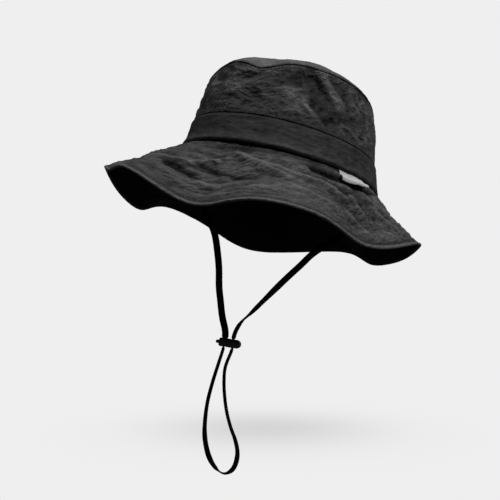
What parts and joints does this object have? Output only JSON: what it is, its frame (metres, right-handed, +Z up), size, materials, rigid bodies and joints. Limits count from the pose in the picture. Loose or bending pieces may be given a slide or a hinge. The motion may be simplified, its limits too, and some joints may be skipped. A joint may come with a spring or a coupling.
{
  "type": "bucket hat",
  "caption": "Soft wide-brimmed bucket hat with a wavy brim, a band, a sweatband and an adjustable chin cord with a sprung cord lock.",
  "frame": {"origin": "centre of the oval head opening, in the plane of the seam between the band and the brim", "axes": "+Z up the crown, away from the head; -Y to the front of the hat; +X to the wearer's left"},
  "size_m": [0.2751, 0.3011, 0.3454],
  "materials": {
    "outer_cloth": "matt crinkled nylon, charcoal black",
    "under_cloth": "matt plain-weave nylon, black",
    "interlining": "stiff non-woven",
    "lining_cloth": "fine mesh lining, black",
    "sweatband_cloth": "soft brushed knit, black",
    "label": "blank woven satin label, light grey",
    "thread": "polyester topstitching thread",
    "cord": "flat woven tape, black",
    "lock_plastic": "moulded acetal, black, lightly textured",
    "spring_steel": "drawn spring wire"
  },
  "bodies": {
    "hat": {"crown_top": "outer_cloth", "crown_side_front": "outer_cloth", "crown_side_back": "outer_cloth", "band_front": "outer_cloth", "band_back": "outer_cloth", "brim_upper_front": "outer_cloth", "brim_upper_back": "outer_cloth", "brim_lower_front": "under_cloth", "brim_lower_back": "under_cloth", "brim_interlining": "interlining", "lining_top": "lining_cloth", "lining_side": "lining_cloth", "sweatband": "sweatband_cloth", "side_label": "label", "inner_label": "label", "crown_top_stitching": "thread", "band_stitching": "thread", "brim_edge_stitching": "thread", "cord_tab_left": "under_cloth", "cord_tab_right": "under_cloth", "cord_bartack_left": "thread", "cord_bartack_right": "thread"},
    "chin_cord": {"cord_end_left": "cord", "cord_end_right": "cord", "chin_cord_left": "cord", "chin_cord_right": "cord", "chin_cord_loop": "cord"},
    "cord_lock": {"cord_lock_body": "lock_plastic", "cord_lock_spring": "spring_steel"},
    "lock_plunger": {"cord_lock_plunger": "lock_plastic"}
  },
  "joints": [
    {"name": "chin_cord_swing", "type": "hinge", "parent": "hat", "child": "chin_cord", "pos_m": [0, 0, -0.008], "axis": [1, 0, 0], "range_deg": [-65, 65]},
    {"name": "cord_lock_slide", "type": "slide", "parent": "chin_cord", "child": "cord_lock", "axis": [0, 0, 1], "range_m": [-0.085, 0.07], "deforming": ["chin_cord_left", "chin_cord_right", "chin_cord_loop"]},
    {"name": "lock_plunger_press", "type": "slide", "parent": "cord_lock", "child": "lock_plunger", "axis": [0.9962, 0, 0.0872], "range_m": [0, 0.0024], "stiffness_N_per_m": 900, "springref_m": -0.002, "deforming": ["cord_lock_spring"]}
  ]
}
